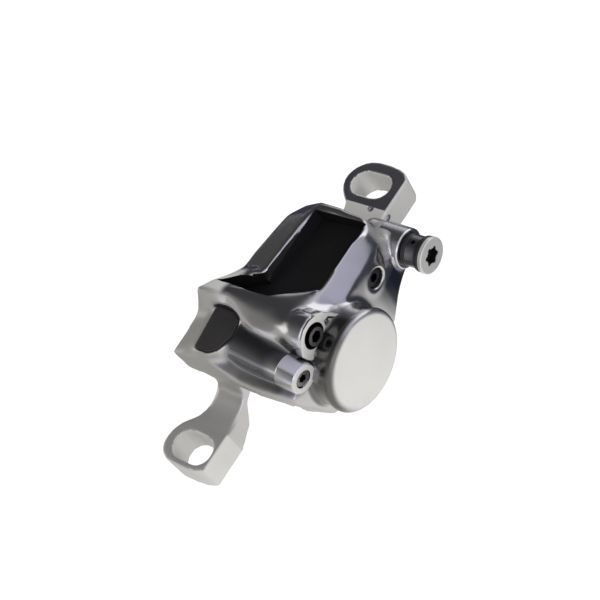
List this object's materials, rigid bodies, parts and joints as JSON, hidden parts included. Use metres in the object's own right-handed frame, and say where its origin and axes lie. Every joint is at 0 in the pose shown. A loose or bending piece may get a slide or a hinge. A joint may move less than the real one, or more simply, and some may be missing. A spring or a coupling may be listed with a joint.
{
  "type": "bicycle disc brake caliper",
  "caption": "Hydraulic disc brake caliper for a bicycle, with slotted ears, opposed pistons, pads on a pin, a bore cap, a hose bolt and a bleed screw.",
  "frame": {"origin": "midway between the two mounting slots, in the plane of the ears' undersides", "axes": "+X along the line of the slots towards the hose bolt, +Y along the pistons towards the wheel, +Z along the mounting bolts towards their heads"},
  "size_m": [0.0855, 0.037, 0.0303],
  "materials": {
    "body": "polished dark grey anodised",
    "bore_cap": "satin",
    "bore_cap_o_ring": "matt",
    "outer_piston": "turned",
    "inner_piston": "turned",
    "outer_piston_insulator": "moulded",
    "inner_piston_insulator": "moulded",
    "outer_piston_seal": "matt",
    "inner_piston_seal": "matt",
    "outer_pad_plate": "painted steel",
    "inner_pad_plate": "painted steel",
    "outer_pad_lining": "pressed friction material",
    "inner_pad_lining": "pressed friction material",
    "pad_spring": "spring steel",
    "pad_pin": "blackened",
    "pin_clip": "spring steel",
    "bleed_screw": "machined",
    "bleed_screw_o_ring": "matt",
    "side_plug": "moulded",
    "hose_bolt": "machined",
    "hose_bolt_o_rings": "matt",
    "passage_plug_screw": "blackened",
    "passage_plug_o_ring": "matt"
  },
  "bodies": {
    "caliper": {"body": "body", "bore_cap": "bore_cap", "bore_cap_o_ring": "bore_cap_o_ring", "outer_piston_seal": "outer_piston_seal", "inner_piston_seal": "inner_piston_seal", "pad_spring": "pad_spring", "pad_pin": "pad_pin", "pin_clip": "pin_clip", "bleed_screw": "bleed_screw", "bleed_screw_o_ring": "bleed_screw_o_ring", "side_plug": "side_plug", "hose_bolt": "hose_bolt", "hose_bolt_o_rings": "hose_bolt_o_rings", "passage_plug_screw": "passage_plug_screw", "passage_plug_o_ring": "passage_plug_o_ring"},
    "outer_piston": {"outer_piston": "outer_piston", "outer_piston_insulator": "outer_piston_insulator"},
    "inner_piston": {"inner_piston": "inner_piston", "inner_piston_insulator": "inner_piston_insulator"},
    "outer_pad": {"outer_pad_plate": "outer_pad_plate", "outer_pad_lining": "outer_pad_lining"},
    "inner_pad": {"inner_pad_plate": "inner_pad_plate", "inner_pad_lining": "inner_pad_lining"}
  },
  "joints": [
    {"name": "outer_piston_slide", "type": "slide", "parent": "caliper", "child": "outer_piston", "axis": [0, 1, 0], "range_m": [0, 0.0012]},
    {"name": "inner_piston_slide", "type": "slide", "parent": "caliper", "child": "inner_piston", "axis": [0, -1, 0], "range_m": [0, 0.0012]},
    {"name": "outer_pad_slide", "type": "slide", "parent": "caliper", "child": "outer_pad", "axis": [0, 1, 0], "range_m": [0, 0.0012], "deforming": ["pad_spring"]},
    {"name": "inner_pad_slide", "type": "slide", "parent": "caliper", "child": "inner_pad", "axis": [0, -1, 0], "range_m": [0, 0.0012]}
  ],
  "couplings": [
    {"joint": "inner_piston_slide", "follows": "outer_piston_slide", "ratio": 1},
    {"joint": "outer_pad_slide", "follows": "outer_piston_slide", "ratio": 1},
    {"joint": "inner_pad_slide", "follows": "outer_piston_slide", "ratio": 1}
  ]
}
